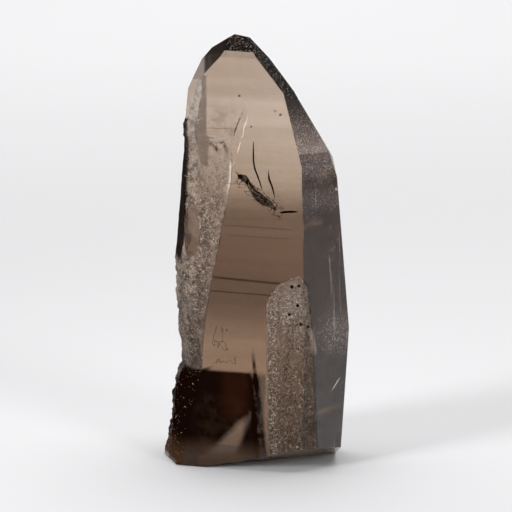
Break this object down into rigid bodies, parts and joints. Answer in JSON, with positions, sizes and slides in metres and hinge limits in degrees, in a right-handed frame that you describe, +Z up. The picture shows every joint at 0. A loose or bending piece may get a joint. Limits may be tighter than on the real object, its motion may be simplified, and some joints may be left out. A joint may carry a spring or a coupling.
{
  "type": "smoky quartz crystal",
  "caption": "Tall smoky quartz prism with flat growth faces, a slanting faceted tip, a weathered etched side and a flat cut base to stand on.",
  "frame": {"origin": "centre of the bounding box at the flat cut base, level with the surface the crystal stands on", "axes": "+Z up along the length of the prism, the broad clean front face looks towards -Y, the weathered side towards -X"},
  "size_m": [0.051, 0.0488, 0.1175],
  "materials": {
    "smoky_quartz": "clear brown crystal with glossy growth faces, frosted where it is etched"
  },
  "bodies": {
    "root": {"crystal": "smoky_quartz"}
  },
  "joints": []
}
